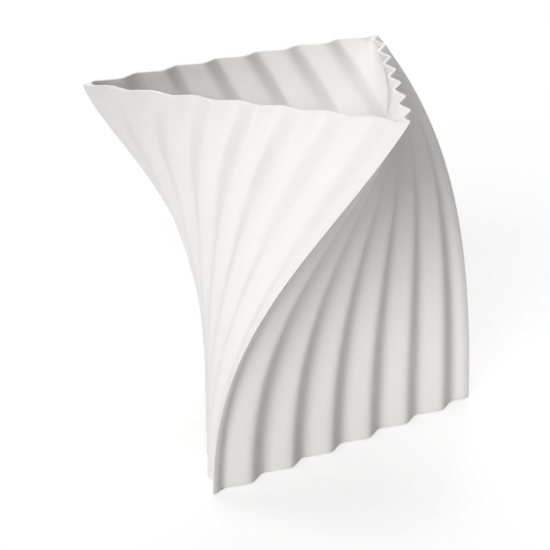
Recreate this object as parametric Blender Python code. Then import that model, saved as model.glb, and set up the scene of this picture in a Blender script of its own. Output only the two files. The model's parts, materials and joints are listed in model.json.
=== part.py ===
"""Small vertical axis wind turbine: a pleated, twisted three-walled rotor on a fixed mast.

Metres, +Z up. The origin is on the rotor's axis, on the surface that the foot stands on.
The mast, stator and base stand still. The rotor hangs on two ball bearings, and a generator
with outside magnets sits between the base plate and the lower spider.
"""

import math

import bmesh
import bpy
from mathutils import Vector
from mathutils.geometry import tessellate_polygon

# Gaps between pieces.
SEAT_GAP = 0.0003
RIM_CLEARANCE = 0.0010
AIR_GAP = 0.0006

# Rotor shell. Each corner has a distance from the axis, given as its difference from the rotor's
# radius, and an angle in degrees, both at the foot and at the rim. The eases say how its angle and
# its distance change between the two.
HEIGHT = 0.2400
ROTOR_RADIUS = 0.1320
FOOT_CORNERS = ((0.0104, -111.7), (-0.0052, 13.8), (-0.0067, 119.5))
RIM_CORNERS = ((-0.0060, -56.0), (0.0016, 63.9), (0.0073, 185.9))
TWIST_EASE = 2.16
TAPER_EASE = 3.37

# Pleats. Each wall has a number of pleats and the phase in degrees that they start at, both at the
# foot and at the rim, and the rim of a wall can bulge out between its corners.
FOOT_PLEATS = ((6.71, 151.4), (6.71, 151.4), (6.71, 151.4))
RIM_PLEATS = ((6.69, 158.7), (7.28, 114.1), (7.44, 53.1))
FOOT_PLEAT_HEIGHT = 0.0030
RIM_PLEAT_HEIGHT = 0.0026
RIM_BULGES = (0.0013, 0.0061, 0.0)
PLEAT_EASE = 1.29
PLEAT_FADE = 0.05
PLEATS = 7
WALL = 0.0022
SHELL_LEVELS = 11
PLEAT_SAMPLES = 6

# Gusset shelves in the shell's corners, which carry the spider arms.
SHELF_THICKNESS = 0.0040
SHELF_PAST_SCREW = 0.0050
SHELF_RINGS = 3

# Spiders.
SPIDER_THICKNESS = 0.0050
SPIDER_HUB_MARGIN = 0.0005
ARM_ROOT_HALF_WIDTH = 0.0075
ARM_TIP_RADIUS = 0.0055
ARM_TIP_SETBACK = 0.0300
UPPER_FLANGE_BELOW_RIM = 0.1020

# Foot mat and base plate.
MAT_STEP = 0.0020
MAT_THICKNESS = 0.0020
PLATE_TO_WALL = 0.0060
PLATE_THICKNESS = 0.0120
PLATE_CHAMFER = 0.0010
RECESS_RADIUS = 0.0095
RECESS_DEPTH = 0.0075

# Mast.
FLANGE_INSIDE_COILS = 0.0042
FLANGE_THICKNESS = 0.0040
STUD_RADIUS = 0.0039
CORE_SEAT_RADIUS = 0.0080
CORE_SHOULDER_RADIUS = 0.0095
CORE_SHOULDER_HEIGHT = 0.0044
JOURNAL_RADIUS = 0.0037
NECK_RADIUS = 0.0055
MAST_CHAMFER = 0.0005

# Nuts and washers on the mast.
WASHER_THICKNESS = 0.0012
NUT_CORNER_RADIUS = 0.0075
FOOT_NUT_HEIGHT = 0.0050
TOP_NUT_HEIGHT = 0.0045
THREAD_END = 0.0015

# Generator.
TEETH = 9
CORE_HEIGHT = 0.0120
CORE_RING_RADIUS = 0.0125
TOOTH_WIDTH = 0.0040
SHOE_THICKNESS = 0.0030
SHOE_ANGLE = math.radians(31)
STATOR_RADIUS = 0.0244
COIL_THICKNESS = 0.0022
COIL_TO_RING = 0.0007
COIL_TO_SHOE = 0.0012
COIL_OVERHANG = 0.0025
MAGNETS = 12
MAGNET_THICKNESS = 0.0024
MAGNET_HEIGHT = 0.0130
MAGNET_ANGLE = math.radians(25)
BELL_WALL = 0.0023
BELL_TOP = 0.0030
BELL_SKIRT_BELOW_MAGNETS = 0.0010
BELL_CHAMFER = 0.0008
CLIP_THICKNESS = 0.0012
CLIP_WIDTH = 0.0032
CLIP_GROOVE_DEPTH = 0.0010
CLIP_OPENING = math.radians(40)
SCREW_HEAD_CLEARANCE = 0.0017

# Ball bearings, 8 x 22 x 7 mm.
BEARING_BORE_RADIUS = 0.0040
BEARING_RADIUS = 0.0110
BEARING_WIDTH = 0.0070
BALLS = 7
BALL_RADIUS = 0.00198
BALL_CIRCLE_RADIUS = 0.0075
INNER_RING_SHOULDER = 0.0060
OUTER_RING_SHOULDER = 0.0090
CAGE_HALF_HEIGHT = 0.0011
CAGE_HALF_WIDTH = 0.0005

# Hub tube and its cap.
HUB_WALL = 0.0027
HUB_FLANGE_MARGIN = 0.0039
HUB_FLANGE_THICKNESS = 0.0040
HUB_WAIST_BORE = 0.0095
HUB_ABOVE_BEARING = 0.0030
CAP_WALL = 0.0020
CAP_CHAMFER = 0.0018

# Screws.
SCREW_RADIUS = 0.0015
SCREW_HEAD_RADIUS = 0.00275
SCREW_HEAD_HEIGHT = 0.0025
SCREW_SOCKET_RADIUS = 0.00125
SCREW_SOCKET_DEPTH = 0.0013
SCREW_CHAMFER = 0.0003
HUB_SCREW_TO_TUBE = 0.0046
HUB_SCREWS = 3

# Cable gland and the lead to it.
GLAND_TO_EDGE = 0.0120
GLAND_RADIUS = 0.0060
GLAND_BORE_RADIUS = 0.0034
GLAND_FLANGE_RADIUS = 0.0080
GLAND_STAND = 0.0003
GLAND_FLOOR_GAP = 0.0004
LEAD_RADIUS = 0.0015
LEAD_COIL = 2

# Heights, from the floor up.
PLATE_BOTTOM = MAT_THICKNESS + SEAT_GAP
PLATE_FACE = PLATE_BOTTOM + PLATE_THICKNESS
RECESS_CEILING = PLATE_BOTTOM + RECESS_DEPTH
MAST_FLANGE_BOTTOM = PLATE_FACE + SEAT_GAP
MAST_FLANGE_TOP = MAST_FLANGE_BOTTOM + FLANGE_THICKNESS
CORE_BOTTOM = MAST_FLANGE_TOP + CORE_SHOULDER_HEIGHT
CORE_TOP = CORE_BOTTOM + CORE_HEIGHT
CORE_MIDDLE = (CORE_BOTTOM + CORE_TOP) / 2
COIL_TOP = CORE_TOP + SEAT_GAP + COIL_OVERHANG
BELL_UNDERSIDE = COIL_TOP + SCREW_HEAD_CLEARANCE + SCREW_HEAD_HEIGHT + SEAT_GAP
BELL_FACE = BELL_UNDERSIDE + BELL_TOP
LOWER_SPIDER_BOTTOM = BELL_FACE + SEAT_GAP
LOWER_SPIDER_TOP = LOWER_SPIDER_BOTTOM + SPIDER_THICKNESS
LOWER_FLANGE_BOTTOM = LOWER_SPIDER_TOP + SEAT_GAP
LOWER_FLANGE_TOP = LOWER_FLANGE_BOTTOM + HUB_FLANGE_THICKNESS
LOWER_BEARING_BOTTOM = LOWER_SPIDER_BOTTOM + SEAT_GAP
LOWER_BEARING_TOP = LOWER_BEARING_BOTTOM + BEARING_WIDTH
UPPER_FLANGE_TOP = HEIGHT - UPPER_FLANGE_BELOW_RIM
UPPER_FLANGE_BOTTOM = UPPER_FLANGE_TOP - HUB_FLANGE_THICKNESS
UPPER_SPIDER_BOTTOM = UPPER_FLANGE_TOP + SEAT_GAP
UPPER_SPIDER_TOP = UPPER_SPIDER_BOTTOM + SPIDER_THICKNESS
UPPER_BEARING_BOTTOM = UPPER_SPIDER_BOTTOM + 2 * SEAT_GAP
UPPER_BEARING_TOP = UPPER_BEARING_BOTTOM + BEARING_WIDTH
HUB_TOP = UPPER_BEARING_TOP + HUB_ABOVE_BEARING
TOP_WASHER_BOTTOM = UPPER_BEARING_TOP + SEAT_GAP
TOP_NUT_BOTTOM = TOP_WASHER_BOTTOM + WASHER_THICKNESS + SEAT_GAP
TOP_NUT_TOP = TOP_NUT_BOTTOM + TOP_NUT_HEIGHT
MAST_TOP = TOP_NUT_TOP + THREAD_END
CAP_CEILING = MAST_TOP + THREAD_END
CAP_TOP = CAP_CEILING + CAP_WALL

# Radii that follow from their neighbours.
BEARING_SEAT_RADIUS = BEARING_RADIUS + SEAT_GAP
SCREW_HOLE_RADIUS = SCREW_RADIUS + SEAT_GAP
MAGNET_INNER_RADIUS = STATOR_RADIUS + AIR_GAP
MAGNET_OUTER_RADIUS = MAGNET_INNER_RADIUS + MAGNET_THICKNESS
BELL_INNER_RADIUS = MAGNET_OUTER_RADIUS + SEAT_GAP
BELL_RADIUS = BELL_INNER_RADIUS + BELL_WALL
COIL_INNER_RADIUS = CORE_RING_RADIUS + COIL_TO_RING
COIL_OUTER_RADIUS = STATOR_RADIUS - SHOE_THICKNESS - COIL_TO_SHOE
FLANGE_RADIUS = COIL_OUTER_RADIUS - FLANGE_INSIDE_COILS
HUB_RADIUS = BEARING_SEAT_RADIUS + HUB_WALL
HUB_SCREW_CIRCLE = HUB_RADIUS + HUB_SCREW_TO_TUBE
HUB_FLANGE_RADIUS = HUB_SCREW_CIRCLE + HUB_FLANGE_MARGIN
SPIDER_HUB_RADIUS = HUB_FLANGE_RADIUS + SPIDER_HUB_MARGIN
LEAD_ANGLE = 2 * math.pi * LEAD_COIL / TEETH


def clear_scene():
    for obj in list(bpy.data.objects):
        bpy.data.objects.remove(obj, do_unlink=True)


def make_material(name, colour, roughness, metallic=0.0):
    material = bpy.data.materials.new(name)
    material.use_nodes = True
    shader = material.node_tree.nodes["Principled BSDF"]
    shader.inputs["Base Color"].default_value = (*colour, 1.0)
    shader.inputs["Roughness"].default_value = roughness
    shader.inputs["Metallic"].default_value = metallic
    return material


def make_empty(name, height=0.0):
    empty = bpy.data.objects.new(name, None)
    empty.location = (0.0, 0.0, height)
    empty.empty_display_size = 0.02
    bpy.context.scene.collection.objects.link(empty)
    return empty


def make_mesh(name, points, faces):
    """Mesh from points and faces, with equal points merged and the faces turned outwards."""
    mesh = bpy.data.meshes.new(name)
    build = bmesh.new()
    verts = [build.verts.new(point) for point in points]
    for face in faces:
        build.faces.new([verts[index] for index in face])
    bmesh.ops.remove_doubles(build, verts=build.verts, dist=1e-7)
    bmesh.ops.recalc_face_normals(build, faces=build.faces)
    build.to_mesh(mesh)
    build.free()
    mesh.shade_smooth()
    mesh.set_sharp_from_angle(angle=math.radians(35))
    return mesh


def add_object(name, mesh, material, parent=None, location=(0, 0, 0), rotation=(0, 0, 0)):
    obj = bpy.data.objects.new(name, mesh)
    obj.location = location
    obj.rotation_euler = rotation
    obj.parent = parent
    if not mesh.materials:
        mesh.materials.append(material)
    bpy.context.scene.collection.objects.link(obj)
    return obj


def add_cutter(name, mesh):
    cutter = bpy.data.objects.new(name, mesh)
    cutter.display_type = "WIRE"
    cutter.hide_render = True
    bpy.context.scene.collection.objects.link(cutter)
    return cutter


def boolean(obj, helper, operation):
    modifier = obj.modifiers.new(helper.name, "BOOLEAN")
    modifier.operation = operation
    modifier.object = helper


def circle(radius, steps, centre=(0.0, 0.0), start=0.0):
    turns = [start + 2 * math.pi * step / steps for step in range(steps)]
    return [(centre[0] + radius * math.cos(a), centre[1] + radius * math.sin(a)) for a in turns]


def arc(radius, first, last, steps, centre=(0.0, 0.0)):
    angles = [first + (last - first) * step / steps for step in range(steps + 1)]
    return [(centre[0] + radius * math.cos(a), centre[1] + radius * math.sin(a)) for a in angles]


def loft(rings, closed_in_a_tube=False):
    """Points and faces of a solid through rings of equal point counts, bottom ring first.

    A tube joins its last ring to its first. Otherwise the end rings are capped.
    """
    count = len(rings[0])
    points = [point for ring in rings for point in ring]
    faces = []
    pairs = [(level, level + 1) for level in range(len(rings) - 1)]
    if closed_in_a_tube:
        pairs.append((len(rings) - 1, 0))
    for low, high in pairs:
        for step in range(count):
            after = (step + 1) % count
            a, b = low * count + step, low * count + after
            c, d = high * count + after, high * count + step
            faces += [(a, b, c), (a, c, d)]
    if not closed_in_a_tube:
        for ring, start in ((rings[0], 0), (rings[-1], (len(rings) - 1) * count)):
            cap = tessellate_polygon([[Vector(point) for point in ring]])
            faces += [tuple(start + index for index in face) for face in cap]
    return points, faces


def prism(outline, holes, bottom, top):
    """Points and faces of a flat plate with holes, between two heights."""
    loops = [outline, *holes]
    flat = [point for loop in loops for point in loop]
    points = [(x, y, bottom) for x, y in flat] + [(x, y, top) for x, y in flat]
    cap = tessellate_polygon([[Vector((x, y, 0.0)) for x, y in loop] for loop in loops])
    faces = [tuple(face) for face in cap]
    faces += [tuple(index + len(flat) for index in face) for face in cap]
    start = 0
    for loop in loops:
        for step in range(len(loop)):
            a, b = start + step, start + (step + 1) % len(loop)
            faces.append((a, b, b + len(flat), a + len(flat)))
        start += len(loop)
    return points, faces


def lathe(profile, steps, closed=True):
    """Points and faces of a turned solid. An open profile starts and ends on the axis."""
    points = []
    for step in range(steps):
        angle = 2 * math.pi * step / steps
        points += [(r * math.cos(angle), r * math.sin(angle), z) for r, z in profile]
    count = len(profile)
    faces = []
    for step in range(steps):
        here, there = step * count, (step + 1) % steps * count
        for index in range(count if closed else count - 1):
            after = (index + 1) % count
            quad = (here + index, there + index, there + after, here + after)
            if profile[index][0] == 0.0:
                quad = (quad[0], quad[2], quad[3])
            elif profile[after][0] == 0.0:
                quad = quad[:3]
            faces.append(quad)
    return points, faces


def share_of_height(height):
    return min(max((height - RIM_CLEARANCE) / (HEIGHT - RIM_CLEARANCE), 0.0), 1.0)


def blend(foot, rim, amount):
    return foot + (rim - foot) * amount


def corner(index, height):
    """Plan position of one corner of the shell at a height."""
    share = share_of_height(height)
    (foot_offset, foot_angle), (rim_offset, rim_angle) = FOOT_CORNERS[index], RIM_CORNERS[index]
    radius = ROTOR_RADIUS + blend(foot_offset, rim_offset, share**TAPER_EASE)
    angle = math.radians(blend(foot_angle, rim_angle, share**TWIST_EASE))
    return Vector((radius * math.cos(angle), radius * math.sin(angle)))


def relief(index, along, height):
    """How far a wall stands out from the straight line between its corners."""
    amount = share_of_height(height) ** PLEAT_EASE
    (foot_count, foot_phase), (rim_count, rim_phase) = FOOT_PLEATS[index], RIM_PLEATS[index]
    turns = blend(foot_count, rim_count, amount) * along
    phase = math.radians(blend(foot_phase, rim_phase, amount))
    wave = blend(FOOT_PLEAT_HEIGHT, RIM_PLEAT_HEIGHT, amount) * math.sin(2 * math.pi * turns + phase)
    bulge = 4 * RIM_BULGES[index] * amount * along * (1 - along)
    return bulge + wave * min(1.0, min(along, 1 - along) / PLEAT_FADE)


def clear_radius(height):
    """Radius about the axis that the shell's inner face leaves free at a height."""
    distances = []
    for index in range(3):
        start, end = corner(index, height), corner((index + 1) % 3, height)
        distances.append(start.cross(end) / (end - start).length)
    return min(distances) - FOOT_PLEAT_HEIGHT - WALL


def plate_radius():
    return clear_radius(RIM_CLEARANCE) - PLATE_TO_WALL


def gland_circle():
    return plate_radius() - GLAND_TO_EDGE


def wall_line(height, inset):
    """Closed plan line of the pleated wall at a height, inset from its outer face."""
    samples = PLEATS * PLEAT_SAMPLES
    line = []
    for index in range(3):
        start, end = corner(index, height), corner((index + 1) % 3, height)
        along = (end - start).normalized()
        outward = Vector((along.y, -along.x))
        for step in range(samples):
            share = step / samples
            line.append(start.lerp(end, share) + outward * relief(index, share, height))
    return inset_line(line, inset, samples)


def mitred(before, point, after, inset):
    """The point moved inwards so that it keeps its distance from both of its neighbours' lines."""
    first, second = (point - before).normalized(), (after - point).normalized()
    normals = Vector((-first.y, first.x)), Vector((-second.y, second.x))
    return point + (normals[0] + normals[1]) * inset / (1 + normals[0].dot(normals[1]))


def inset_line(line, inset, samples):
    """The line moved inwards. Where two walls meet, the last points before the corner make room."""
    count = len(line)
    moved = [mitred(line[step - 1], line[step], line[(step + 1) % count], inset) for step in range(count)]
    if inset > 0:
        for middle in range(0, count, samples):
            room = 2
            while (line[middle + room] - line[middle - room]).length < 3 * inset:
                room += 1
            moved[middle] = mitred(line[middle - room], line[middle], line[middle + room], inset)
            for side in (-room, room):
                for step in range(1, room):
                    place = middle + side * step // room
                    moved[place] = moved[middle].lerp(moved[middle + side], step / room)
    return moved


def ring_at(height, inset):
    return [(point.x, point.y, height) for point in wall_line(height, inset)]


def shelf_samples(index, height):
    """How many of the wall's points on each side of a corner its shelf takes to pass the screw."""
    line = wall_line(height, WALL / 2)
    middle = index * PLEATS * PLEAT_SAMPLES
    tip = corner(index, height)
    samples = 1
    while True:
        ends = line[middle - samples], line[middle + samples]
        depth = (ends[0] - tip).cross(ends[1] - tip) / (ends[1] - ends[0]).length
        if abs(depth) >= ARM_TIP_SETBACK + SHELF_PAST_SCREW:
            return samples
        samples += 1


def shelf(index, bottom, top):
    """A gusset that fills one corner of the shell, up to the middle of the walls."""
    samples = shelf_samples(index, bottom)
    rings = []
    for level in range(SHELF_RINGS):
        height = bottom + (top - bottom) * level / (SHELF_RINGS - 1)
        line = ring_at(height, WALL / 2)
        middle = index * PLEATS * PLEAT_SAMPLES
        picked = range(middle - samples, middle + samples + 1)
        rings.append([line[step % len(line)] for step in picked])
    return loft(rings)


def arm_tip(index, height):
    """Plan angle and radius of an arm's end hole in one corner of the shell."""
    place = corner(index, height)
    return math.atan2(place.y, place.x), place.length - ARM_TIP_SETBACK


def merged(solids):
    """One mesh data set out of several that don't touch."""
    points, faces = [], []
    for some_points, some_faces in solids:
        faces += [tuple(index + len(points) for index in face) for face in some_faces]
        points += some_points
    return points, faces


def make_shell(material, parent):
    steps = SHELL_LEVELS - 1
    rise = (HEIGHT - RIM_CLEARANCE) / steps
    heights = [RIM_CLEARANCE + rise * level for level in range(SHELL_LEVELS)]
    outside = [ring_at(height, 0.0) for height in heights]
    inside = [ring_at(height, WALL) for height in reversed(heights)]
    mesh = make_mesh("rotor_shell", *loft(outside + inside, closed_in_a_tube=True))
    shell = add_object("rotor_shell", mesh, material, parent)

    spans = (
        (LOWER_FLANGE_BOTTOM, LOWER_FLANGE_BOTTOM + SHELF_THICKNESS, LOWER_SPIDER_BOTTOM),
        (UPPER_FLANGE_TOP - SHELF_THICKNESS, UPPER_FLANGE_TOP, UPPER_SPIDER_BOTTOM),
    )
    shelves, holes = [], []
    for bottom, top, spider_bottom in spans:
        for index in range(3):
            angle, radius = arm_tip(index, spider_bottom + SPIDER_THICKNESS / 2)
            centre = (radius * math.cos(angle), radius * math.sin(angle))
            shelves.append(shelf(index, bottom, top))
            drill = circle(SCREW_HOLE_RADIUS, 12, centre)
            holes.append(prism(drill, [], bottom - WALL, top + WALL))
    boolean(shell, add_cutter("shelf_bodies", make_mesh("shelves", *merged(shelves))), "UNION")
    boolean(shell, add_cutter("shelf_drill", make_mesh("drill", *merged(holes))), "DIFFERENCE")


def spider_outline(tips):
    """Hub disc with one tapered, round-ended arm towards each tip."""
    outline = []
    spread = math.asin(ARM_ROOT_HALF_WIDTH / SPIDER_HUB_RADIUS)
    for index, (angle, radius) in enumerate(tips):
        centre = (radius * math.cos(angle), radius * math.sin(angle))
        outline += arc(ARM_TIP_RADIUS, angle - math.pi / 2, angle + math.pi / 2, 8, centre)
        next_angle = tips[(index + 1) % len(tips)][0]
        sweep = (next_angle - angle) % (2 * math.pi)
        outline += arc(SPIDER_HUB_RADIUS, angle + spread, angle + sweep - spread, 8)
    return outline


def make_spider(name, bottom, material, parent):
    tips = sorted(arm_tip(index, bottom + SPIDER_THICKNESS / 2) for index in range(3))
    holes = [circle(HUB_RADIUS + SEAT_GAP, 32)]
    for angle, radius in tips:
        centre = (radius * math.cos(angle), radius * math.sin(angle))
        holes.append(circle(SCREW_HOLE_RADIUS, 12, centre))
    holes += [circle(SCREW_HOLE_RADIUS, 12, centre) for centre in hub_screw_places()]
    plate = prism(spider_outline(tips), holes, bottom, bottom + SPIDER_THICKNESS)
    add_object(name, make_mesh(name, *plate), material, parent)


def hub_screw_places():
    return circle(HUB_SCREW_CIRCLE, HUB_SCREWS)


def drill_hub_screws(obj, bottom, top):
    holes = [prism(circle(SCREW_HOLE_RADIUS, 12, place), [], bottom, top) for place in hub_screw_places()]
    boolean(obj, add_cutter(f"{obj.name}_drill", make_mesh("drill", *merged(holes))), "DIFFERENCE")


def screw_mesh(name, shank):
    """A cap screw with its head's seat at zero, its head above and its shank below."""
    head = SCREW_HEAD_HEIGHT
    profile = [
        (0.0, head - SCREW_SOCKET_DEPTH),
        (SCREW_SOCKET_RADIUS, head - SCREW_SOCKET_DEPTH),
        (SCREW_SOCKET_RADIUS, head),
        (SCREW_HEAD_RADIUS - SCREW_CHAMFER, head),
        (SCREW_HEAD_RADIUS, head - SCREW_CHAMFER),
        (SCREW_HEAD_RADIUS, 0.0),
        (SCREW_RADIUS, 0.0),
        (SCREW_RADIUS, -shank),
        (0.0, -shank),
    ]
    return make_mesh(name, *lathe(profile, 10, closed=False))


def make_screws(material, parent):
    """The screws from below turn their heads down, and those from above turn them up."""
    upside_down = (math.pi, 0.0, 0.0)
    grip = LOWER_FLANGE_TOP - BELL_UNDERSIDE
    long_screw = screw_mesh("bell_screw", grip)
    short_screw = screw_mesh("short_screw", SPIDER_THICKNESS + SHELF_THICKNESS)
    for number, (x, y) in enumerate(hub_screw_places(), 1):
        low = (x, y, BELL_UNDERSIDE - SEAT_GAP)
        high = (x, y, UPPER_SPIDER_TOP + SEAT_GAP)
        add_object(f"bell_screw_{number}", long_screw, material, parent, low, upside_down)
        add_object(f"hub_screw_{number}", short_screw, material, parent, high)
    for index in range(3):
        for name, bottom in (("lower", LOWER_SPIDER_BOTTOM), ("upper", UPPER_SPIDER_BOTTOM)):
            angle, radius = arm_tip(index, bottom + SPIDER_THICKNESS / 2)
            from_below = name == "lower"
            seat = bottom - SEAT_GAP if from_below else bottom + SPIDER_THICKNESS + SEAT_GAP
            place = (radius * math.cos(angle), radius * math.sin(angle), seat)
            turn = upside_down if from_below else (0.0, 0.0, 0.0)
            add_object(f"{name}_arm_screw_{index + 1}", short_screw, material, parent, place, turn)


def make_foot_mat(material, parent):
    gland = gland_place()
    holes = [circle(GLAND_FLANGE_RADIUS + SEAT_GAP, 24, gland)]
    mat = prism(circle(plate_radius() - MAT_STEP, 48), holes, 0.0, MAT_THICKNESS)
    add_object("foot_mat", make_mesh("foot_mat", *mat), material, parent)


def make_base_plate(material, parent):
    rim = plate_radius()
    profile = [
        (RECESS_RADIUS, PLATE_BOTTOM),
        (rim - PLATE_CHAMFER, PLATE_BOTTOM),
        (rim, PLATE_BOTTOM + PLATE_CHAMFER),
        (rim, PLATE_FACE - PLATE_CHAMFER),
        (rim - PLATE_CHAMFER, PLATE_FACE),
        (STUD_RADIUS + SEAT_GAP, PLATE_FACE),
        (STUD_RADIUS + SEAT_GAP, RECESS_CEILING),
        (RECESS_RADIUS, RECESS_CEILING),
    ]
    plate = add_object("base_plate", make_mesh("base_plate", *lathe(profile, 48)), material, parent)
    outline = circle(GLAND_RADIUS + SEAT_GAP, 20, gland_place())
    hole = prism(outline, [], 0.0, PLATE_FACE + MAT_THICKNESS)
    boolean(plate, add_cutter("gland_drill", make_mesh("gland_drill", *hole)), "DIFFERENCE")


def gland_place():
    return polar(gland_circle(), LEAD_ANGLE)


def make_cable_gland(material, parent):
    flange_top = MAT_THICKNESS
    top = PLATE_FACE + GLAND_STAND
    profile = [
        (GLAND_BORE_RADIUS, GLAND_FLOOR_GAP),
        (GLAND_FLANGE_RADIUS, GLAND_FLOOR_GAP),
        (GLAND_FLANGE_RADIUS, flange_top),
        (GLAND_RADIUS, flange_top),
        (GLAND_RADIUS, top),
        (GLAND_BORE_RADIUS, top),
    ]
    mesh = make_mesh("cable_gland", *lathe(profile, 20))
    add_object("cable_gland", mesh, material, parent, (*gland_place(), 0.0))


def make_output_lead(material, parent):
    """From under a coil, over the base plate and down into the gland."""
    coil_bottom = CORE_BOTTOM - SEAT_GAP - COIL_OVERHANG
    on_plate = PLATE_FACE + LEAD_RADIUS + 2 * SEAT_GAP
    over_gland = PLATE_FACE + GLAND_STAND + LEAD_RADIUS + 4 * SEAT_GAP
    start = COIL_OUTER_RADIUS + SEAT_GAP
    span = gland_circle() - start
    route = [
        (start, coil_bottom - SEAT_GAP),
        (start + 0.01 * span, coil_bottom - LEAD_RADIUS),
        (start + 0.10 * span, on_plate + SEAT_GAP),
        (start + 0.28 * span, on_plate),
        (start + 0.55 * span, on_plate + SEAT_GAP),
        (start + 0.80 * span, over_gland),
        (start + 0.95 * span, over_gland),
        (start + 1.02 * span, PLATE_FACE - LEAD_RADIUS),
        (start + 1.02 * span, PLATE_FACE - 3 * LEAD_RADIUS),
    ]
    curve = bpy.data.curves.new("output_lead", "CURVE")
    curve.dimensions = "3D"
    curve.bevel_depth = LEAD_RADIUS
    curve.bevel_resolution = 2
    curve.use_fill_caps = True
    points = smooth_route(route, 3)
    spline = curve.splines.new("POLY")
    spline.points.add(len(points) - 1)
    for place, (radius, height) in zip(spline.points, points):
        x, y = radius * math.cos(LEAD_ANGLE), radius * math.sin(LEAD_ANGLE)
        place.co = (x, y, height, 1.0)
    lead = bpy.data.objects.new("output_lead", curve)
    lead.parent = parent
    curve.materials.append(material)
    bpy.context.scene.collection.objects.link(lead)


def smooth_route(route, steps):
    """Points on a Catmull-Rom curve through the route's points."""
    ends = [route[0], *route, route[-1]]
    points = []
    for index in range(1, len(ends) - 2):
        a, b, c, d = (Vector(ends[index + shift]) for shift in (-1, 0, 1, 2))
        for step in range(steps):
            s = step / steps
            bend = (2 * a - 5 * b + 4 * c - d) * s**2 + (3 * b - a - 3 * c + d) * s**3
            points.append((2 * b + (c - a) * s + bend) / 2)
    points.append(Vector(route[-1]))
    return points


def make_mast(material, parent):
    groove = CORE_SEAT_RADIUS - CLIP_GROOVE_DEPTH
    groove_top = CORE_TOP + CLIP_THICKNESS + 2 * SEAT_GAP
    shoulder = LOWER_BEARING_BOTTOM - SEAT_GAP
    stud_bottom = MAT_THICKNESS + 2 * SEAT_GAP
    profile = [
        (0.0, stud_bottom),
        (STUD_RADIUS - MAST_CHAMFER, stud_bottom),
        (STUD_RADIUS, stud_bottom + MAST_CHAMFER),
        (STUD_RADIUS, MAST_FLANGE_BOTTOM),
        (FLANGE_RADIUS, MAST_FLANGE_BOTTOM),
        (FLANGE_RADIUS, MAST_FLANGE_TOP),
        (CORE_SHOULDER_RADIUS, MAST_FLANGE_TOP),
        (CORE_SHOULDER_RADIUS, CORE_BOTTOM - SEAT_GAP),
        (CORE_SEAT_RADIUS, CORE_BOTTOM - SEAT_GAP),
        (CORE_SEAT_RADIUS, CORE_TOP),
        (groove, CORE_TOP),
        (groove, groove_top),
        (CORE_SEAT_RADIUS, groove_top),
        (CORE_SEAT_RADIUS, COIL_TOP),
        (NECK_RADIUS, COIL_TOP),
        (NECK_RADIUS, shoulder),
        (JOURNAL_RADIUS, shoulder),
        (JOURNAL_RADIUS, MAST_TOP - MAST_CHAMFER),
        (JOURNAL_RADIUS - MAST_CHAMFER, MAST_TOP),
        (0.0, MAST_TOP),
    ]
    mesh = make_mesh("mast", *lathe(profile, 24, closed=False))
    add_object("mast", mesh, material, parent)


def make_washer(name, bottom, material, parent):
    outer = circle(INNER_RING_SHOULDER + 2 * SEAT_GAP, 20)
    ring = prism(outer, [circle(BEARING_BORE_RADIUS + SEAT_GAP, 20)], bottom, bottom + WASHER_THICKNESS)
    add_object(name, make_mesh(name, *ring), material, parent)


def make_nut(name, bottom, height, material, parent):
    hexagon = circle(NUT_CORNER_RADIUS, 6)
    ring = prism(hexagon, [circle(BEARING_BORE_RADIUS + SEAT_GAP, 20)], bottom, bottom + height)
    add_object(name, make_mesh(name, *ring), material, parent)


def make_mast_fasteners(material, parent):
    washer_bottom = RECESS_CEILING - SEAT_GAP - WASHER_THICKNESS
    make_washer("mast_washer", washer_bottom, material, parent)
    nut_bottom = washer_bottom - SEAT_GAP - FOOT_NUT_HEIGHT
    make_nut("mast_nut", nut_bottom, FOOT_NUT_HEIGHT, material, parent)
    make_washer("top_washer", TOP_WASHER_BOTTOM, material, parent)
    make_nut("top_nut", TOP_NUT_BOTTOM, TOP_NUT_HEIGHT, material, parent)


def make_stator_core(material, parent):
    """A laminated core: a ring, straight teeth and a wide shoe on each tooth."""
    shoe_root = STATOR_RADIUS - SHOE_THICKNESS
    half = TOOTH_WIDTH / 2
    outline = []
    for tooth in range(TEETH):
        middle = 2 * math.pi * tooth / TEETH
        root = math.asin(half / CORE_RING_RADIUS)
        neck = math.asin(half / shoe_root)
        outline.append(polar(CORE_RING_RADIUS, middle - root))
        outline.append(polar(shoe_root, middle - neck))
        outline.append(polar(STATOR_RADIUS - SHOE_THICKNESS / 3, middle - SHOE_ANGLE / 2))
        outline += arc(STATOR_RADIUS, middle - SHOE_ANGLE / 2, middle + SHOE_ANGLE / 2, 4)
        outline.append(polar(STATOR_RADIUS - SHOE_THICKNESS / 3, middle + SHOE_ANGLE / 2))
        outline.append(polar(shoe_root, middle + neck))
        outline.append(polar(CORE_RING_RADIUS, middle + root))
    bore = circle(CORE_SEAT_RADIUS + SEAT_GAP, 24)
    core = prism(outline, [bore], CORE_BOTTOM, CORE_TOP)
    add_object("stator_core", make_mesh("stator_core", *core), material, parent)


def polar(radius, angle):
    return (radius * math.cos(angle), radius * math.sin(angle))


def rounded_box(half_width, half_height, radius, steps):
    """Outline of a rectangle with round corners."""
    outline = []
    for quarter, (x, y) in enumerate(((1, 1), (-1, 1), (-1, -1), (1, -1))):
        centre = (x * (half_width - radius), y * (half_height - radius))
        first = quarter * math.pi / 2
        outline += arc(radius, first, first + math.pi / 2, steps, centre)
    return outline


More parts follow.
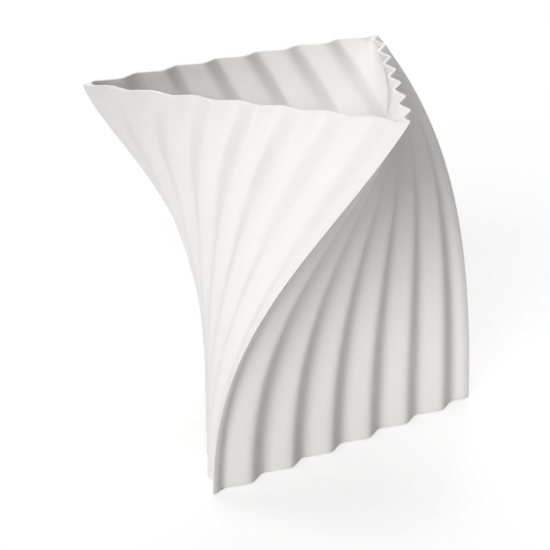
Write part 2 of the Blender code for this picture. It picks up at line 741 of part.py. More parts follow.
def make_coils(material, parent):
    """One winding on each tooth, with its hole along the tooth."""
    half_width = TOOTH_WIDTH / 2 + SEAT_GAP
    half_height = CORE_HEIGHT / 2 + SEAT_GAP
    outer = rounded_box(half_width + COIL_THICKNESS, half_height + COIL_OVERHANG, COIL_THICKNESS, 3)
    hole = rounded_box(half_width, half_height, SEAT_GAP, 1)
    winding = prism(outer, [hole], COIL_INNER_RADIUS, COIL_OUTER_RADIUS)
    mesh = make_mesh("coil", *winding)
    for tooth in range(TEETH):
        turn = (math.pi / 2, 0.0, math.pi / 2 + 2 * math.pi * tooth / TEETH)
        place = (0.0, 0.0, CORE_MIDDLE)
        add_object(f"coil_{tooth + 1}", mesh, material, parent, place, turn)


def make_stator_clip(material, parent):
    """An open spring ring in the mast's groove, above the core."""
    inner = CORE_SEAT_RADIUS - CLIP_GROOVE_DEPTH + SEAT_GAP
    first, last = CLIP_OPENING / 2, 2 * math.pi - CLIP_OPENING / 2
    outline = arc(inner + CLIP_WIDTH, first, last, 24) + arc(inner, last, first, 24)
    bottom = CORE_TOP + SEAT_GAP
    ring = prism(outline, [], bottom, bottom + CLIP_THICKNESS)
    add_object("stator_clip", make_mesh("stator_clip", *ring), material, parent)


def make_bell(material, parent):
    """Back-iron cup, open at the bottom, whose top plate also traps the lower bearing."""
    bottom = CORE_MIDDLE - MAGNET_HEIGHT / 2 - BELL_SKIRT_BELOW_MAGNETS
    profile = [
        (OUTER_RING_SHOULDER, BELL_UNDERSIDE),
        (BELL_INNER_RADIUS, BELL_UNDERSIDE),
        (BELL_INNER_RADIUS, bottom),
        (BELL_RADIUS, bottom),
        (BELL_RADIUS, BELL_FACE - BELL_CHAMFER),
        (BELL_RADIUS - BELL_CHAMFER, BELL_FACE),
        (OUTER_RING_SHOULDER, BELL_FACE),
    ]
    bell = add_object("rotor_bell", make_mesh("rotor_bell", *lathe(profile, 36)), material, parent)
    drill_hub_screws(bell, BELL_UNDERSIDE - BELL_TOP, BELL_FACE + BELL_TOP)


def make_magnets(material, parent):
    half = MAGNET_ANGLE / 2
    outline = arc(MAGNET_OUTER_RADIUS, -half, half, 3) + arc(MAGNET_INNER_RADIUS, half, -half, 3)
    mesh = make_mesh("magnet", *prism(outline, [], -MAGNET_HEIGHT / 2, MAGNET_HEIGHT / 2))
    for number in range(MAGNETS):
        turn = (0.0, 0.0, 2 * math.pi * number / MAGNETS)
        add_object(f"magnet_{number + 1}", mesh, material, parent, (0.0, 0.0, CORE_MIDDLE), turn)


def race(edge_radius, shoulder_radius):
    """Profile of a bearing ring, from its flat edge to the groove that the balls run in."""
    half = BEARING_WIDTH / 2
    groove = BALL_RADIUS + SEAT_GAP
    side = 1.0 if shoulder_radius > edge_radius else -1.0
    reach = math.acos(abs(BALL_CIRCLE_RADIUS - shoulder_radius) / groove)
    middle = math.pi if side > 0 else 0.0
    track = arc(groove, middle - reach, middle + reach, 3, (BALL_CIRCLE_RADIUS, 0.0))
    low, high = (shoulder_radius, -half), (shoulder_radius, half)
    if side > 0:
        return [(edge_radius, half), high, *track, low, (edge_radius, -half)]
    return [(edge_radius, -half), low, *track, high, (edge_radius, half)]


def make_bearing(name, bottom, ring_material, ball_material, fixed, turning):
    centre = bottom + BEARING_WIDTH / 2
    inner = make_mesh(f"{name}_inner", *lathe(race(BEARING_BORE_RADIUS, INNER_RING_SHOULDER), 20))
    outer = make_mesh(f"{name}_outer", *lathe(race(BEARING_RADIUS, OUTER_RING_SHOULDER), 24))
    add_object(f"{name}_inner_ring", inner, ring_material, fixed, (0.0, 0.0, centre))
    add_object(f"{name}_outer_ring", outer, ring_material, turning, (0.0, 0.0, centre))
    make_ball_set(name, centre, ball_material)


def make_ball_set(name, centre, material):
    """The cage ring with its balls, on its own empty, because it turns slower than the rotor."""
    spin = make_empty(f"{name}_ball_spin", centre)
    inner, outer = BALL_CIRCLE_RADIUS - CAGE_HALF_WIDTH, BALL_CIRCLE_RADIUS + CAGE_HALF_WIDTH
    half = CAGE_HALF_HEIGHT
    band = [(inner, -half), (outer, -half), (outer, half), (inner, half)]
    cage = add_object(f"{name}_ball_cage", make_mesh("cage", *lathe(band, 21)), material, spin)
    balls = bmesh.new()
    for x, y in circle(BALL_CIRCLE_RADIUS, BALLS):
        ball = bmesh.ops.create_icosphere(balls, subdivisions=1, radius=BALL_RADIUS)
        bmesh.ops.translate(balls, verts=ball["verts"], vec=(x, y, 0.0))
    mesh = bpy.data.meshes.new("balls")
    balls.to_mesh(mesh)
    balls.free()
    helper = add_cutter(f"{name}_balls", mesh)
    helper.parent = spin
    boolean(cage, helper, "UNION")


def make_bearing_spacer(material, parent):
    """Sleeve on the mast that holds the two inner rings apart."""
    hole = [circle(BEARING_BORE_RADIUS, 24)]
    bottom, top = LOWER_BEARING_TOP + SEAT_GAP, UPPER_BEARING_BOTTOM - SEAT_GAP
    sleeve = prism(circle(INNER_RING_SHOULDER, 24), hole, bottom, top)
    add_object("bearing_spacer", make_mesh("bearing_spacer", *sleeve), material, parent)


def make_hub_tube(material, parent):
    """Turned tube with a bearing seat in each end and a flange for each spider."""
    low_seat_top = LOWER_BEARING_TOP + SEAT_GAP
    high_seat_bottom = UPPER_BEARING_BOTTOM - SEAT_GAP
    profile = [
        (BEARING_SEAT_RADIUS, LOWER_SPIDER_BOTTOM),
        (HUB_RADIUS, LOWER_SPIDER_BOTTOM),
        (HUB_RADIUS, LOWER_FLANGE_BOTTOM),
        (HUB_FLANGE_RADIUS, LOWER_FLANGE_BOTTOM),
        (HUB_FLANGE_RADIUS, LOWER_FLANGE_TOP),
        (HUB_RADIUS, LOWER_FLANGE_TOP),
        (HUB_RADIUS, UPPER_FLANGE_BOTTOM),
        (HUB_FLANGE_RADIUS, UPPER_FLANGE_BOTTOM),
        (HUB_FLANGE_RADIUS, UPPER_FLANGE_TOP),
        (HUB_RADIUS, UPPER_FLANGE_TOP),
        (HUB_RADIUS, HUB_TOP),
        (BEARING_SEAT_RADIUS, HUB_TOP),
        (BEARING_SEAT_RADIUS, high_seat_bottom),
        (HUB_WAIST_BORE, high_seat_bottom),
        (HUB_WAIST_BORE, low_seat_top),
        (BEARING_SEAT_RADIUS, low_seat_top),
    ]
    tube = add_object("hub_tube", make_mesh("hub_tube", *lathe(profile, 28)), material, parent)
    holes = []
    for bottom in (LOWER_FLANGE_BOTTOM, UPPER_FLANGE_BOTTOM):
        top = bottom + HUB_FLANGE_THICKNESS + WALL
        holes += [prism(circle(SCREW_HOLE_RADIUS, 12, place), [], bottom - WALL, top)
                  for place in hub_screw_places()]
    boolean(tube, add_cutter("hub_drill", make_mesh("hub_drill", *merged(holes))), "DIFFERENCE")


def make_hub_cap(material, parent):
    """Dust cap whose spigot holds the upper bearing's outer ring down."""
    spigot_bottom = UPPER_BEARING_TOP + SEAT_GAP
    profile = [
        (OUTER_RING_SHOULDER, spigot_bottom),
        (BEARING_RADIUS, spigot_bottom),
        (BEARING_RADIUS, HUB_TOP + SEAT_GAP),
        (HUB_RADIUS, HUB_TOP + SEAT_GAP),
        (HUB_RADIUS, CAP_TOP - CAP_CHAMFER),
        (HUB_RADIUS - CAP_CHAMFER, CAP_TOP),
        (0.0, CAP_TOP),
    ]
    inside = [(0.0, CAP_CEILING), (OUTER_RING_SHOULDER, CAP_CEILING)]
    mesh = make_mesh("hub_cap", *lathe([*inside, *profile], 28, closed=False))
    add_object("hub_cap", mesh, material, parent)


def make_turbine():
    clear_scene()
    white = make_material("white_shell", (0.86, 0.86, 0.85), 0.55)
    steel = make_material("bright_steel", (0.62, 0.62, 0.64), 0.28, 1.0)
    zinc = make_material("zinc_screws", (0.70, 0.70, 0.72), 0.32, 1.0)
    aluminium = make_material("turned_aluminium", (0.78, 0.79, 0.80), 0.35, 1.0)
    plate = make_material("painted_plate", (0.07, 0.07, 0.075), 0.50)
    rubber = make_material("black_rubber", (0.03, 0.03, 0.03), 0.80)
    black_plastic = make_material("black_plastic", (0.05, 0.05, 0.05), 0.45)
    copper = make_material("copper_winding", (0.72, 0.35, 0.16), 0.35, 1.0)
    core_steel = make_material("core_steel", (0.32, 0.33, 0.35), 0.45, 1.0)
    nickel = make_material("nickel_magnet", (0.72, 0.71, 0.68), 0.22, 1.0)

    fixed = make_empty("fixed_base")
    turning = make_empty("rotor_spin")

    make_foot_mat(rubber, fixed)
    make_base_plate(plate, fixed)
    make_cable_gland(black_plastic, fixed)
    make_output_lead(rubber, fixed)
    make_mast(steel, fixed)
    make_mast_fasteners(zinc, fixed)
    make_stator_core(core_steel, fixed)
    make_coils(copper, fixed)
    make_stator_clip(steel, fixed)
    make_bearing("lower_bearing", LOWER_BEARING_BOTTOM, steel, steel, fixed, turning)
    make_bearing("upper_bearing", UPPER_BEARING_BOTTOM, steel, steel, fixed, turning)
    make_bearing_spacer(aluminium, fixed)

    make_shell(white, turning)
    make_hub_tube(aluminium, turning)
    make_bell(core_steel, turning)
    make_magnets(nickel, turning)
    make_spider("lower_spider", LOWER_SPIDER_BOTTOM, aluminium, turning)
    make_spider("upper_spider", UPPER_SPIDER_BOTTOM, aluminium, turning)
    make_screws(zinc, turning)
    make_hub_cap(white, turning)


make_turbine()
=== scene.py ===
"""Looks of the vertical axis wind turbine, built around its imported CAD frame.

Metres, +Z up, the same frame as the CAD. The rotor shell is remade as one smooth, finely
divided wall from the CAD's own sizes, with its shelves and a boss at each of their screws.
The other pieces are the frame's, and those that show get softened edges.
"""

import json
import math

import bmesh
import bpy
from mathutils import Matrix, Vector
from mathutils.geometry import tessellate_polygon


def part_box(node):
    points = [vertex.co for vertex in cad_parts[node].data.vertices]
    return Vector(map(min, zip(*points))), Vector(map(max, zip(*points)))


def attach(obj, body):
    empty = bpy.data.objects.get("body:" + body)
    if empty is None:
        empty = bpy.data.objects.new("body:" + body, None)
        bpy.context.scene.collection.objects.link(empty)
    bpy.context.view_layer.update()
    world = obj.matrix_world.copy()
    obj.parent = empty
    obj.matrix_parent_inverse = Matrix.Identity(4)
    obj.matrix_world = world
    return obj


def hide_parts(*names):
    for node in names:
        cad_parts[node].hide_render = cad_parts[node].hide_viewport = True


# The rotor shell's walls, as in the CAD. A corner is its offset from the rotor's radius and its
# angle, and a wall's pleats are their count and the phase of the first one in degrees.
CORNERS = 3
ROTOR_RADIUS = 0.1320
FOOT_CORNERS = ((0.0104, -111.7), (-0.0052, 13.8), (-0.0067, 119.5))
RIM_CORNERS = ((-0.0060, -56.0), (0.0016, 63.9), (0.0073, 185.9))
TWIST_EASE = 2.16
TAPER_EASE = 3.37
FOOT_PLEATS = ((6.71, 151.4), (6.71, 151.4), (6.71, 151.4))
RIM_PLEATS = ((6.69, 158.7), (7.28, 114.1), (7.44, 53.1))
FOOT_PLEAT_HEIGHT = 0.0030
RIM_PLEAT_HEIGHT = 0.0026
RIM_BULGES = (0.0013, 0.0061, 0.0)
PLEAT_EASE = 1.29
PLEAT_FADE = 0.05
PLEATS = 7
WALL = 0.0022

# How a pleat differs from the CAD's plain sine: its lean in radians of the wave, and how much
# more pointed its crests and valleys are.
PLEAT_SKEW = 0.12
PLEAT_POINT = 0.05

# How finely the shell is remade, and how its corners and rim are rounded.
PLEAT_SAMPLES = 14
SHELL_LEVELS = 60
CORNER_RADIUS = 0.0008
CORNER_MARGIN = 4.6
SLOPE_STEP = 0.0005
CORNER_STEPS = 5
SHELL_SHARP = math.radians(40)
RIM_ROUND = 0.0005
RIM_STEPS = 3

# Corner shelves, each with its reach as a share of the walls, and their bosses.
SHELF_SHARES = (1 / 6, 4 / 21, 4 / 21)
SHELF_THICKNESS = 0.0040
SHELF_SAMPLES = 24
SHELF_TO_SPIDER = 0.0003
SHELF_EDGE = 0.0005
SHELF_TIP_SAMPLES = 2
SCREW_HOLE_RADIUS = 0.0018
BOSS_RADIUS = 0.0042
BOSS_HEIGHT = 0.0016
BOSS_STEPS = 40

# Softened edges: each piece that shows, its body and the width of its edges.
EDGE_STEPS = 2
SHARP = math.radians(35)
FLAT = math.radians(1)
SAME_POINT = 1e-6
SOFTENED = (
    ("upper_spider", "rotor", 0.0005),
    ("lower_spider", "rotor", 0.0005),
    ("hub_cap", "rotor", 0.0003),
    ("hub_tube", "rotor", 0.0003),
    ("rotor_bell", "rotor", 0.0003),
    ("base_plate", "base", 0.0004),
    ("foot_mat", "base", 0.0003),
    ("cable_gland", "base", 0.0003),
    ("mast_nut", "base", 0.0003),
)

# Camera, in front of the object and above its rim, looking down.
CAMERA_PLACE = (-0.01307, -1.50802, 0.64068)
CAMERA_PITCH = math.radians(19.625)
CAMERA_LENS = 155.08
SENSOR_WIDTH = 36.0
CAMERA_REACH = 50.0

# Studio. The floor has one tone for the light that it throws back on the object, and a shade and a
# glow that together look white to the eye and keep the object's shadow. Each lamp is a wide, soft
# source: its direction from the object in degrees round from +X and up from the floor, and the
# light that it gives in watts per square metre.
FLOOR_HALF_SIZE = 6.0
FLOOR_TONE = 0.80
FLOOR_SHADE = 0.40
FLOOR_GLOW = 0.666
WORLD_LIGHT = 0.02
LAMP_WIDTH = math.radians(25)
LAMPS = {
    "key": (-113, 25, 1.76),
    "front_fill": (-90, 25, 0.70),
    "left_fill": (145, 8, 0.70),
    "back_fill": (90, 25, 1.20),
    "top_fill": (110, 78, 0.95),
}


def link(obj):
    bpy.context.scene.collection.objects.link(obj)
    return obj


# ---------------------------------------------------------------- studio


def make_camera():
    data = bpy.data.cameras.new("camera")
    data.lens = CAMERA_LENS
    data.sensor_width = SENSOR_WIDTH
    data.clip_end = CAMERA_REACH
    camera = link(bpy.data.objects.new("camera", data))
    camera.location = CAMERA_PLACE
    camera.rotation_euler = (math.pi / 2 - CAMERA_PITCH, 0.0, 0.0)
    bpy.context.scene.camera = camera


def make_lamp(name, azimuth, elevation, light):
    data = bpy.data.lights.new(name, "SUN")
    data.angle = LAMP_WIDTH
    data.energy = light
    lamp = link(bpy.data.objects.new(name, data))
    around, up = math.radians(azimuth), math.radians(elevation)
    ray = Vector((math.cos(up) * math.cos(around), math.cos(up) * math.sin(around), math.sin(up)))
    lamp.rotation_euler = (-ray).to_track_quat("-Z", "Y").to_euler()


def white_to_the_eye(nodes, links):
    """A socket that is 1 for camera, glossy and transmission rays, and 0 for light's own rays."""
    path = nodes.new("ShaderNodeLightPath")
    first = nodes.new("ShaderNodeMath")
    first.operation = "MAXIMUM"
    second = nodes.new("ShaderNodeMath")
    second.operation = "MAXIMUM"
    links.new(path.outputs["Is Camera Ray"], first.inputs[0])
    links.new(path.outputs["Is Glossy Ray"], first.inputs[1])
    links.new(first.outputs[0], second.inputs[0])
    links.new(path.outputs["Is Transmission Ray"], second.inputs[1])
    return second.outputs[0]


def make_world():
    world = bpy.data.worlds.new("studio")
    bpy.context.scene.world = world
    world.use_nodes = True
    nodes, links = world.node_tree.nodes, world.node_tree.links
    nodes.clear()
    output = nodes.new("ShaderNodeOutputWorld")
    mix = nodes.new("ShaderNodeMixShader")
    light = nodes.new("ShaderNodeBackground")
    light.inputs["Color"].default_value = (1.0, 1.0, 1.0, 1.0)
    light.inputs["Strength"].default_value = WORLD_LIGHT
    white = nodes.new("ShaderNodeBackground")
    white.inputs["Color"].default_value = (1.0, 1.0, 1.0, 1.0)
    white.inputs["Strength"].default_value = 1.0
    links.new(white_to_the_eye(nodes, links), mix.inputs["Fac"])
    links.new(light.outputs[0], mix.inputs[1])
    links.new(white.outputs[0], mix.inputs[2])
    links.new(mix.outputs[0], output.inputs["Surface"])


def make_floor():
    half = FLOOR_HALF_SIZE
    mesh = bpy.data.meshes.new("floor")
    corners = [(-half, -half, 0.0), (half, -half, 0.0), (half, half, 0.0), (-half, half, 0.0)]
    mesh.from_pydata(corners, [], [(0, 1, 2, 3)])
    floor = link(bpy.data.objects.new("floor", mesh))
    material = bpy.data.materials.new("floor")
    material.use_nodes = True
    nodes, links = material.node_tree.nodes, material.node_tree.links
    shader = nodes["Principled BSDF"]
    shader.inputs["Roughness"].default_value = 1.0
    shader.inputs["Specular IOR Level"].default_value = 0.0
    shader.inputs["Emission Color"].default_value = (1.0, 1.0, 1.0, 1.0)
    seen = white_to_the_eye(nodes, links)
    tone = nodes.new("ShaderNodeMix")
    tone.data_type = "RGBA"
    tone.inputs["A"].default_value = (FLOOR_TONE, FLOOR_TONE, FLOOR_TONE, 1.0)
    tone.inputs["B"].default_value = (FLOOR_SHADE, FLOOR_SHADE, FLOOR_SHADE, 1.0)
    links.new(seen, tone.inputs["Factor"])
    links.new(tone.outputs["Result"], shader.inputs["Base Color"])
    strength = nodes.new("ShaderNodeMath")
    strength.operation = "MULTIPLY"
    strength.inputs[1].default_value = FLOOR_GLOW
    links.new(seen, strength.inputs[0])
    links.new(strength.outputs[0], shader.inputs["Emission Strength"])
    mesh.materials.append(material)


def make_studio():
    scene = bpy.context.scene
    scene.view_settings.view_transform = "Standard"
    make_camera()
    make_world()
    make_floor()
    for name, (azimuth, elevation, light) in LAMPS.items():
        make_lamp(name, azimuth, elevation, light)


# ---------------------------------------------------------------- materials


class Shader:
    """A Principled material with the procedural helpers that the surfaces here share."""

    def __init__(self, name, colour, roughness, metallic=0.0, specular=0.5):
        self.material = bpy.data.materials.new(name)
        self.material.use_nodes = True
        tree = self.material.node_tree
        self.nodes, self.links = tree.nodes, tree.links
        self.shader = self.nodes["Principled BSDF"]
        self.colour = colour
        self.shader.inputs["Base Color"].default_value = (*colour, 1.0)
        self.shader.inputs["Roughness"].default_value = roughness
        self.shader.inputs["Metallic"].default_value = metallic
        self.shader.inputs["Specular IOR Level"].default_value = specular
        self.place = self.nodes.new("ShaderNodeTexCoord").outputs["Object"]
        self.height = None

    def noise(self, scale, detail=3.0, stretch=(1.0, 1.0, 1.0)):
        mapping = self.nodes.new("ShaderNodeMapping")
        mapping.inputs["Scale"].default_value = stretch
        texture = self.nodes.new("ShaderNodeTexNoise")
        texture.inputs["Scale"].default_value = scale
        texture.inputs["Detail"].default_value = detail
        self.links.new(self.place, mapping.inputs["Vector"])
        self.links.new(mapping.outputs["Vector"], texture.inputs["Vector"])
        return texture.outputs["Fac"]

    def ramp(self, value, low, high, first, last):
        """Maps value between low and high onto numbers between first and last."""
        change = self.nodes.new("ShaderNodeMapRange")
        change.inputs["From Min"].default_value = low
        change.inputs["From Max"].default_value = high
        change.inputs["To Min"].default_value = first
        change.inputs["To Max"].default_value = last
        self.links.new(value, change.inputs["Value"])
        return change.outputs["Result"]

    def tint(self, value, other, low=0.35, high=0.65):
        """Varies the base colour towards another one with value."""
        mix = self.nodes.new("ShaderNodeMix")
        mix.data_type = "RGBA"
        mix.inputs["A"].default_value = (*self.colour, 1.0)
        mix.inputs["B"].default_value = (*other, 1.0)
        self.links.new(self.ramp(value, low, high, 0.0, 1.0), mix.inputs["Factor"])
        self.links.new(mix.outputs["Result"], self.shader.inputs["Base Color"])

    def vary_roughness(self, value, first, last):
        self.links.new(self.ramp(value, 0.3, 0.7, first, last), self.shader.inputs["Roughness"])

    def bump(self, value, depth, strength=1.0):
        """Adds a relief whose highest and lowest points are `depth` apart, in metres."""
        node = self.nodes.new("ShaderNodeBump")
        node.inputs["Strength"].default_value = strength
        node.inputs["Distance"].default_value = depth
        self.links.new(value, node.inputs["Height"])
        if self.height is not None:
            self.links.new(self.height, node.inputs["Normal"])
        self.height = node.outputs["Normal"]
        self.links.new(self.height, self.shader.inputs["Normal"])


def shell_white():
    look = Shader("shell_white", (0.875, 0.868, 0.850), 0.60, specular=0.12)
    look.tint(look.noise(9.0, 2.0), (0.862, 0.853, 0.834))
    look.vary_roughness(look.noise(60.0), 0.55, 0.66)
    look.bump(look.noise(900.0, 2.0), 0.00004, 0.35)
    return look.material


def cap_plastic():
    look = Shader("cap_plastic", (0.82, 0.82, 0.81), 0.42)
    look.tint(look.noise(25.0), (0.79, 0.79, 0.775))
    look.vary_roughness(look.noise(80.0), 0.36, 0.50)
    look.bump(look.noise(1600.0, 2.0), 0.00003, 0.5)
    return look.material


def rubber():
    look = Shader("rubber", (0.030, 0.030, 0.031), 0.78, specular=0.3)
    look.tint(look.noise(40.0), (0.045, 0.044, 0.043))
    look.vary_roughness(look.noise(120.0), 0.68, 0.88)
    look.bump(look.noise(700.0, 4.0), 0.00010, 0.6)
    return look.material


def base_paint():
    look = Shader("base_paint", (0.070, 0.070, 0.075), 0.50)
    look.tint(look.noise(30.0), (0.085, 0.085, 0.088))
    look.vary_roughness(look.noise(200.0), 0.42, 0.60)
    look.bump(look.noise(1100.0, 3.0), 0.00012, 0.7)
    return look.material


def black_plastic():
    look = Shader("black_plastic", (0.040, 0.040, 0.045), 0.45)
    look.tint(look.noise(60.0), (0.052, 0.052, 0.056))
    look.vary_roughness(look.noise(150.0), 0.38, 0.55)
    look.bump(look.noise(1500.0), 0.00004, 0.6)
    return look.material


def metal(name, colour, other, rough, grain, stretch):
    look = Shader(name, colour, rough, metallic=1.0)
    look.tint(look.noise(45.0), other)
    lines = look.noise(grain, 4.0, stretch)
    look.vary_roughness(lines, rough - 0.07, rough + 0.09)
    look.bump(lines, 0.00003, 0.5)
    return look.material


# How a metal's grain is squeezed along X, Y and Z.
TURNED = (1.0, 1.0, 14.0)
MILLED = (1.0, 9.0, 1.0)
EVEN = (1.0, 1.0, 1.0)
LAMINATED = (1.0, 1.0, 25.0)
WOUND = (1.0, 1.0, 6.0)


def make_looks():
    steel = metal("steel", (0.62, 0.62, 0.64), (0.55, 0.55, 0.575), 0.27, 260.0, TURNED)
    zinc = metal("zinc", (0.68, 0.69, 0.71), (0.60, 0.62, 0.66), 0.33, 500.0, EVEN)
    core = metal("core_steel", (0.30, 0.31, 0.33), (0.24, 0.245, 0.26), 0.42, 200.0, LAMINATED)
    magnet = metal("magnet", (0.70, 0.69, 0.66), (0.64, 0.63, 0.60), 0.22, 300.0, EVEN)
    copper = metal("copper", (0.72, 0.36, 0.17), (0.60, 0.27, 0.11), 0.32, 420.0, WOUND)
    aluminium = metal("aluminium", (0.78, 0.79, 0.80), (0.72, 0.73, 0.745), 0.36, 240.0, MILLED)
    return {
        "shell_white": shell_white(),
        "cap_plastic": cap_plastic(),
        "rubber": rubber(),
        "base_paint": base_paint(),
        "black_plastic": black_plastic(),
        "steel": steel,
        "zinc": zinc,
        "core_steel": core,
        "magnet": magnet,
        "copper": copper,
        "aluminium": aluminium,
    }


def slots_of(frame):
    """The material slot of each CAD node, as the record has it."""
    return {part["node"]: part["material_slot"] for part in frame["record"]["subparts"]}


def dress_nodes(frame, looks):
    """Gives each CAD node the material of its slot."""
    slots = slots_of(frame)
    for name, obj in frame["nodes"].items():
        obj.data.materials.clear()
        obj.data.materials.append(looks[slots[name]])


# ---------------------------------------------------------------- rotor shell


def blend(foot, rim, amount):
    return foot + (rim - foot) * amount


def corner(index, share):
    """Plan position of one corner of the shell, at a share of its height."""
    (foot_offset, foot_angle), (rim_offset, rim_angle) = FOOT_CORNERS[index], RIM_CORNERS[index]
    radius = ROTOR_RADIUS + blend(foot_offset, rim_offset, share**TAPER_EASE)
    angle = math.radians(blend(foot_angle, rim_angle, share**TWIST_EASE))
    return Vector((radius * math.cos(angle), radius * math.sin(angle)))


def relief(index, along, share):
    """How far a wall stands out from the straight line between its corners."""
    amount = share**PLEAT_EASE
    (foot_count, foot_phase), (rim_count, rim_phase) = FOOT_PLEATS[index], RIM_PLEATS[index]
    turns = blend(foot_count, rim_count, amount) * along
    turn = 2 * math.pi * turns + math.radians(blend(foot_phase, rim_phase, amount))
    turn -= PLEAT_SKEW * math.sin(turn)
    wave = blend(FOOT_PLEAT_HEIGHT, RIM_PLEAT_HEIGHT, amount)
    wave *= math.sin(turn) - PLEAT_POINT * math.sin(3 * turn)
    fade = min(1.0, max(0.0, min(along, 1 - along)) / PLEAT_FADE)
    bulge = 4 * RIM_BULGES[index] * amount * along * (1 - along)
    return bulge + wave * fade * fade * (3 - 2 * fade)


def wall_ends(index, share):
    """Both ends of a wall's straight line, and the directions along it and outwards."""
    start, end = corner(index, share), corner((index + 1) % CORNERS, share)
    along = (end - start).normalized()
    return start, end, along, Vector((along.y, -along.x))


def wall_point(index, place, share, inset):
    """A point of a wall at a share of its length, inset from its outer face."""
    start, end, along, outward = wall_ends(index, share)
    rise = relief(index, place + SLOPE_STEP, share) - relief(index, place - SLOPE_STEP, share)
    normal = (outward - along * rise / (2 * SLOPE_STEP * (end - start).length)).normalized()
    return start.lerp(end, place) + outward * relief(index, place, share) - normal * inset


def corner_turn(index, share, reach):
    """Half the angle between the two walls at a corner, and the direction that lies midway."""
    tip = corner(index, share)
    before = wall_point((index - 1) % CORNERS, 1 - reach, share, 0.0) - tip
    after = wall_point(index, reach, share, 0.0) - tip
    return before.angle(after) / 2, (before.normalized() + after.normalized()).normalized()


def shell_line(share, inset):
    """Closed plan line of the wall at a share of the height, with rounded corners."""
    samples = PLEATS * PLEAT_SAMPLES
    walls, tips = [], []
    for index in range(CORNERS):
        length = (corner((index + 1) % CORNERS, share) - corner(index, share)).length
        trim = (CORNER_RADIUS + CORNER_MARGIN * inset) / length
        places = [blend(trim, 1 - trim, step / samples) for step in range(samples + 1)]
        walls.append([wall_point(index, place, share, inset) for place in places])
        half_angle, inwards = corner_turn(index, share, trim)
        tips.append(corner(index, share) + inwards * inset / math.sin(half_angle))
    line = []
    for index, wall in enumerate(walls):
        after = (index + 1) % CORNERS
        line += wall
        for step in range(1, CORNER_STEPS):
            part = step / CORNER_STEPS
            first, last = wall[-1] * (1 - part) ** 2, walls[after][0] * part**2
            line.append(first + tips[after] * 2 * part * (1 - part) + last)
    return line


def edge_profile(low, high):
    """Height and inset of each ring, up the outer face, over the rim and down the inner face."""
    quarter = [math.pi / 2 * step / RIM_STEPS for step in range(RIM_STEPS + 1)]
    rise = (high - low - 2 * RIM_ROUND) / (SHELL_LEVELS - 1)
    straight = [low + RIM_ROUND + rise * level for level in range(SHELL_LEVELS)]
    curl = [(RIM_ROUND * (1 - math.cos(a)), RIM_ROUND * (1 - math.sin(a))) for a in quarter]
    outer = [(height, 0.0) for height in straight]
    over = [(high - drop, inset) for inset, drop in curl[1:]]
    back = [(height, WALL - inset) for height, inset in reversed(over)]
    inner = [(height, WALL) for height in reversed(straight)]
    under_in = [(low + drop, WALL - inset) for inset, drop in curl[1:]]
    under_out = [(height, WALL - inset) for height, inset in reversed(under_in)]
    return outer + over + back + inner + under_in + under_out


def make_shell(looks):
    low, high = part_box("rotor_shell")
    rings = []
    for height, inset in edge_profile(low.z, high.z):
        share = min(max((height - low.z) / (high.z - low.z), 0.0), 1.0)
        rings.append([(p.x, p.y, height) for p in shell_line(share, inset)])
    count = len(rings[0])
    points = [point for ring in rings for point in ring]
    faces = []
    for level in range(len(rings)):
        here, there = level * count, (level + 1) % len(rings) * count
        for step in range(count):
            after = (step + 1) % count
            faces.append((here + step, here + after, there + after, there + step))
    mesh = bpy.data.meshes.new("rotor_wall")
    mesh.from_pydata(points, [], faces)
    mesh.update()
    mesh.shade_smooth()
    mesh.set_sharp_from_angle(angle=SHELL_SHARP)
    mesh.materials.append(looks["shell_white"])
    shell = link(bpy.data.objects.new("rotor_wall", mesh))
    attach(shell, "rotor")
    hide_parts("rotor_shell")


# ---------------------------------------------------------------- pieces inside the shell


def add_piece(name, build, body, slot, looks):
    """Makes a piece out of a bmesh, which rides one of the frame's bodies."""
    bmesh.ops.recalc_face_normals(build, faces=build.faces)
    mesh = bpy.data.meshes.new(name)
    build.to_mesh(mesh)
    build.free()
    mesh.shade_smooth()
    mesh.set_sharp_from_angle(angle=SHARP)
    mesh.materials.append(looks[slot])
    piece = link(bpy.data.objects.new(name, mesh))
    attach(piece, body)
    return piece


def soften(build, width):
    """Rounds every sharp edge."""
    sharp = [edge for edge in build.edges if edge.is_manifold and edge.calc_face_angle() > SHARP]
    bmesh.ops.bevel(
        build,
        geom=sharp,
        offset=width,
        offset_type="OFFSET",
        segments=EDGE_STEPS,
        profile=0.5,
        affect="EDGES",
        clamp_overlap=True,
    )


def circle(radius, steps, centre):
    turns = [2 * math.pi * step / steps for step in range(steps)]
    return [(centre[0] + radius * math.cos(a), centre[1] + radius * math.sin(a)) for a in turns]


def prism(build, outline, hole, bottom, top):
    """Adds a flat plate with one hole, between two heights, to a bmesh."""
    loops = [outline, hole]
    flat = [point for loop in loops for point in loop]
    low = [build.verts.new((x, y, bottom)) for x, y in flat]
    high = [build.verts.new((x, y, top)) for x, y in flat]
    cap = tessellate_polygon([[Vector((x, y, 0.0)) for x, y in loop] for loop in loops])
    for face in cap:
        build.faces.new([low[index] for index in face])
        build.faces.new([high[index] for index in reversed(face)])
    start = 0
    for loop in loops:
        for step in range(len(loop)):
            a, b = start + step, start + (step + 1) % len(loop)
            build.faces.new((low[a], low[b], high[b], high[a]))
        start += len(loop)


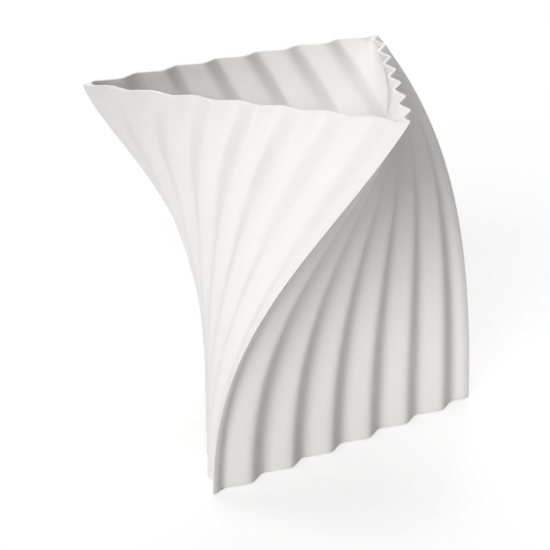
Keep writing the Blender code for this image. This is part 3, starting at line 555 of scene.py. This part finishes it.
def shelf_outline(index, share):
    """The corner of the shell's section that a shelf fills, along the middle of the walls."""
    ends = []
    reach = SHELF_SHARES[index]
    for wall, first, last in (((index - 1) % CORNERS, 1 - reach, 1.0), (index, 0.0, reach)):
        start, end, _, outward = wall_ends(wall, share)
        trim = CORNER_MARGIN * WALL / 2 / (end - start).length
        side = []
        for step in range(SHELF_SAMPLES + 1):
            place = blend(first, last, step / SHELF_SAMPLES)
            place = min(max(place, trim), 1 - trim)
            side.append(start.lerp(end, place) + outward * (relief(wall, place, share) - WALL / 2))
        ends.append(side)
    before, after = ends
    kept = before[:-SHELF_TIP_SAMPLES] + after[SHELF_TIP_SAMPLES:]
    return [(point.x, point.y) for point in kept]


def make_shelves(looks):
    """Gusset shelves in the shell's corners, with a boss round each hole for the arm screws."""
    low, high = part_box("rotor_shell")
    for level in ("lower", "upper"):
        spider_low, spider_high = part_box(f"{level}_spider")
        above = level == "lower"
        near = spider_high.z + SHELF_TO_SPIDER if above else spider_low.z - SHELF_TO_SPIDER
        bottom, top = (near, near + SHELF_THICKNESS) if above else (near - SHELF_THICKNESS, near)
        boss = (top, top + BOSS_HEIGHT) if above else (bottom - BOSS_HEIGHT, bottom)
        share = ((bottom + top) / 2 - low.z) / (high.z - low.z)
        for index in range(CORNERS):
            screw_low, screw_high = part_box(f"{level}_arm_screw_{index + 1}")
            centre = ((screw_low.x + screw_high.x) / 2, (screw_low.y + screw_high.y) / 2)
            hole = circle(SCREW_HOLE_RADIUS, BOSS_STEPS, centre)
            build = bmesh.new()
            prism(build, shelf_outline(index, share), hole, bottom, top)
            soften(build, SHELF_EDGE)
            ring = bmesh.new()
            prism(ring, circle(BOSS_RADIUS, BOSS_STEPS, centre), hole, *boss)
            soften(ring, SHELF_EDGE)
            add_piece(f"{level}_shelf_{index + 1}", build, "rotor", "shell_white", looks)
            add_piece(f"{level}_boss_{index + 1}", ring, "rotor", "shell_white", looks)


def make_softened(frame, looks, name, body, width):
    """Replaces a CAD node by a copy of its shape with rounded edges."""
    source = frame["nodes"][name]
    build = bmesh.new()
    build.from_mesh(source.data)
    build.transform(source.matrix_world)
    bmesh.ops.remove_doubles(build, verts=build.verts, dist=SAME_POINT)
    bmesh.ops.dissolve_limit(build, angle_limit=FLAT, verts=build.verts, edges=build.edges)
    soften(build, width)
    piece = add_piece(f"{name}_soft", build, body, slots_of(frame)[name], looks)
    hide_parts(name)


# ---------------------------------------------------------------- whole scene

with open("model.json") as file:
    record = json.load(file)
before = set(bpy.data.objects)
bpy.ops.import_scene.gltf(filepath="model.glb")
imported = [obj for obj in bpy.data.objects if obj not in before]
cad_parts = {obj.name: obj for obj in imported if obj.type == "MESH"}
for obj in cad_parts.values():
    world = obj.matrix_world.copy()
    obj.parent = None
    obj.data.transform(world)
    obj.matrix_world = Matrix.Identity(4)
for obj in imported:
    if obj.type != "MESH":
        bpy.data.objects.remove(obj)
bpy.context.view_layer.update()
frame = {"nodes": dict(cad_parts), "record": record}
make_studio()
looks = make_looks()
dress_nodes(frame, looks)
make_shell(looks)
make_shelves(looks)
for name, body, width in SOFTENED:
    make_softened(frame, looks, name, body, width)
